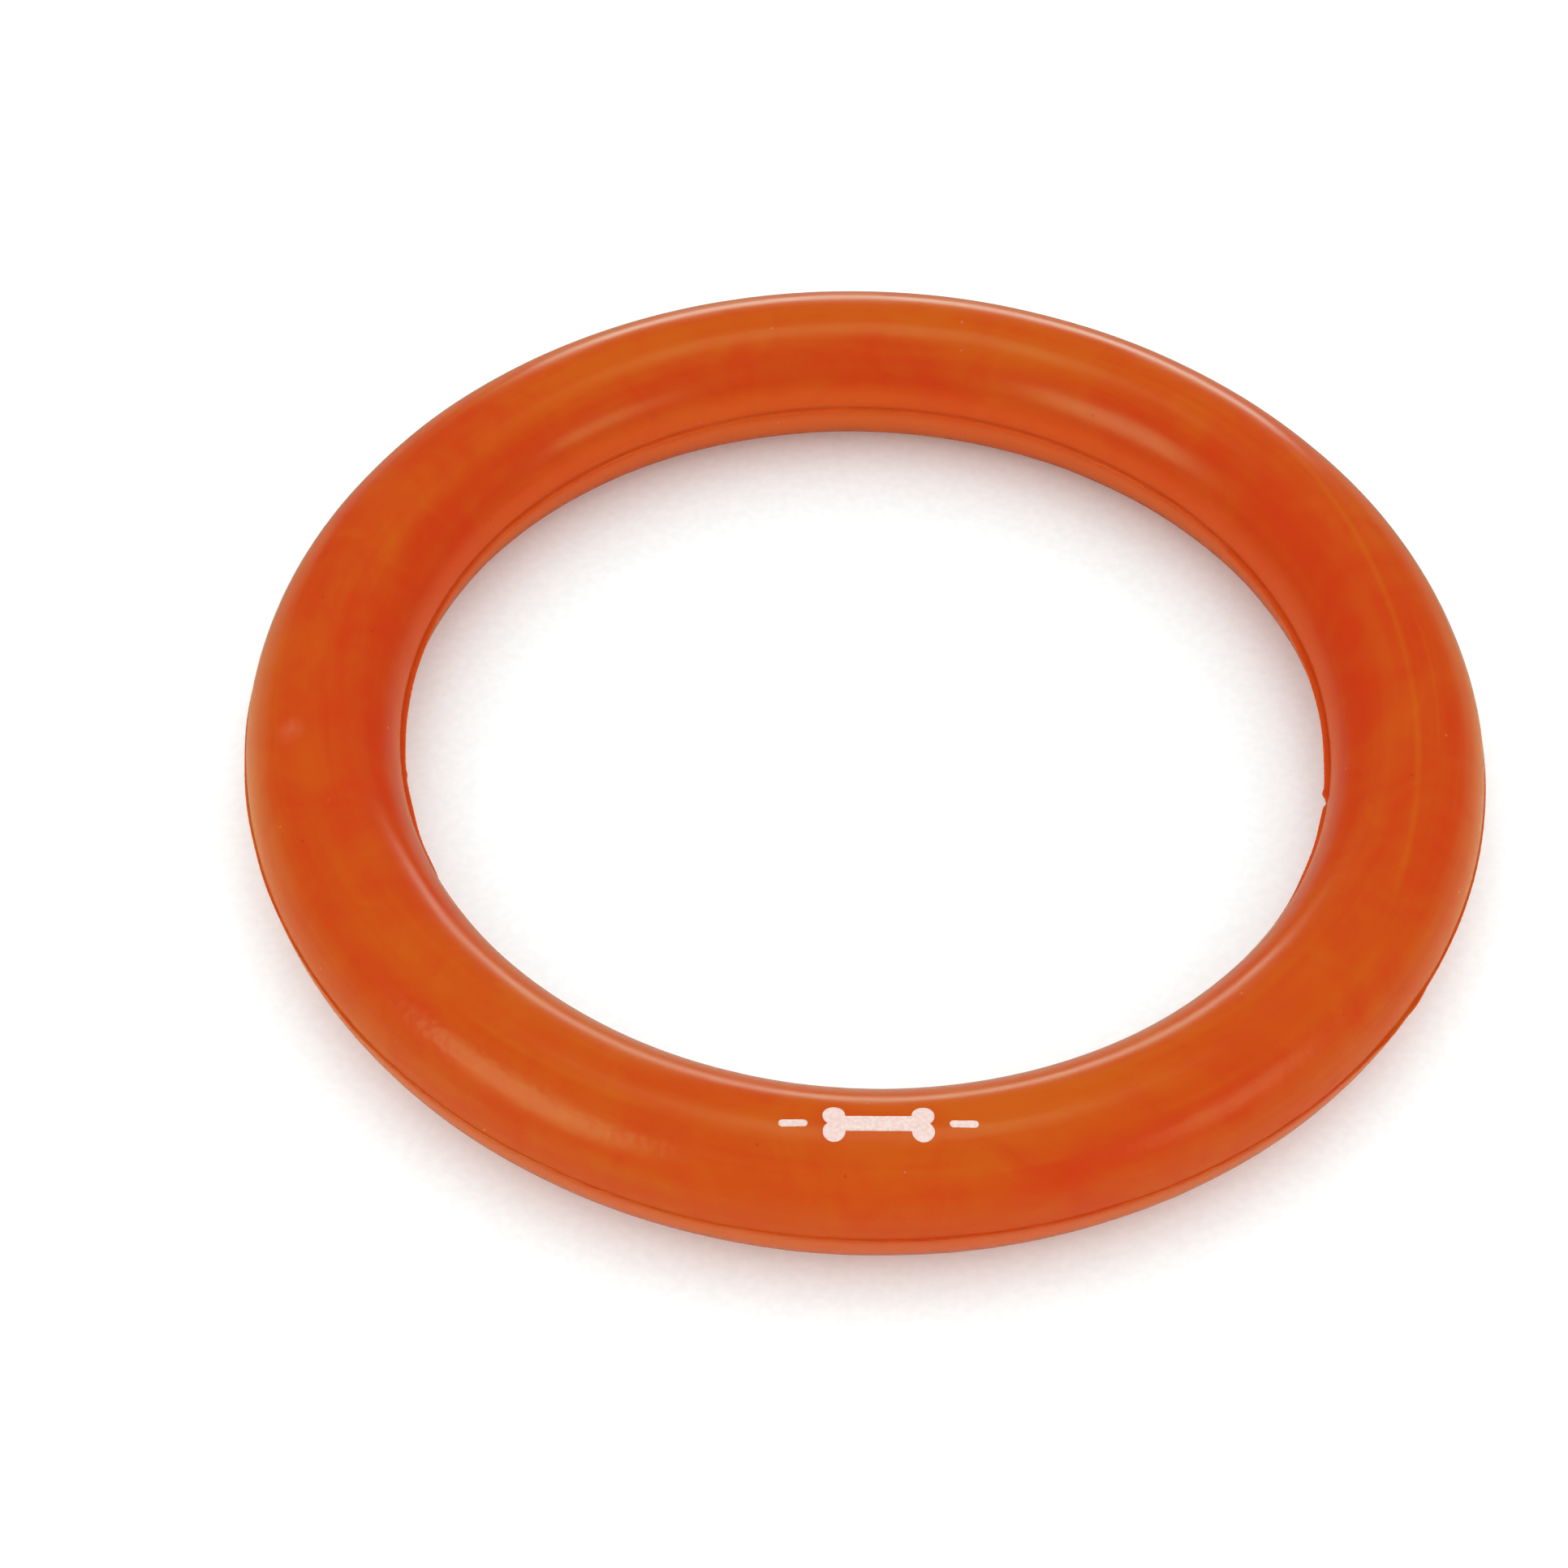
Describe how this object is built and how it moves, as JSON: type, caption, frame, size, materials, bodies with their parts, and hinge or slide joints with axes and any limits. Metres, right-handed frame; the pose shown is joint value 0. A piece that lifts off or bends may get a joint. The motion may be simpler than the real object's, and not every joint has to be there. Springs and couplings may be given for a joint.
{
  "type": "throwing ring",
  "caption": "Solid moulded rubber throwing ring with an oval tube section, a seam with thin rims around its middle, and a small printed mark on its crown.",
  "frame": {"origin": "centre of the ring, at mid-height, in the plane of the moulding seam", "axes": "+Z is the ring's own axis and points up as the ring lies flat; the printed mark is on the crown, centred on -Y"},
  "size_m": [0.1506, 0.1506, 0.0183],
  "materials": {
    "orange_rubber": "satin",
    "white_ink": "matte"
  },
  "bodies": {
    "root": {"upper_half": "orange_rubber", "lower_half": "orange_rubber", "outer_seam_rim": "orange_rubber", "inner_seam_rim": "orange_rubber", "printed_mark": "white_ink"}
  },
  "joints": []
}
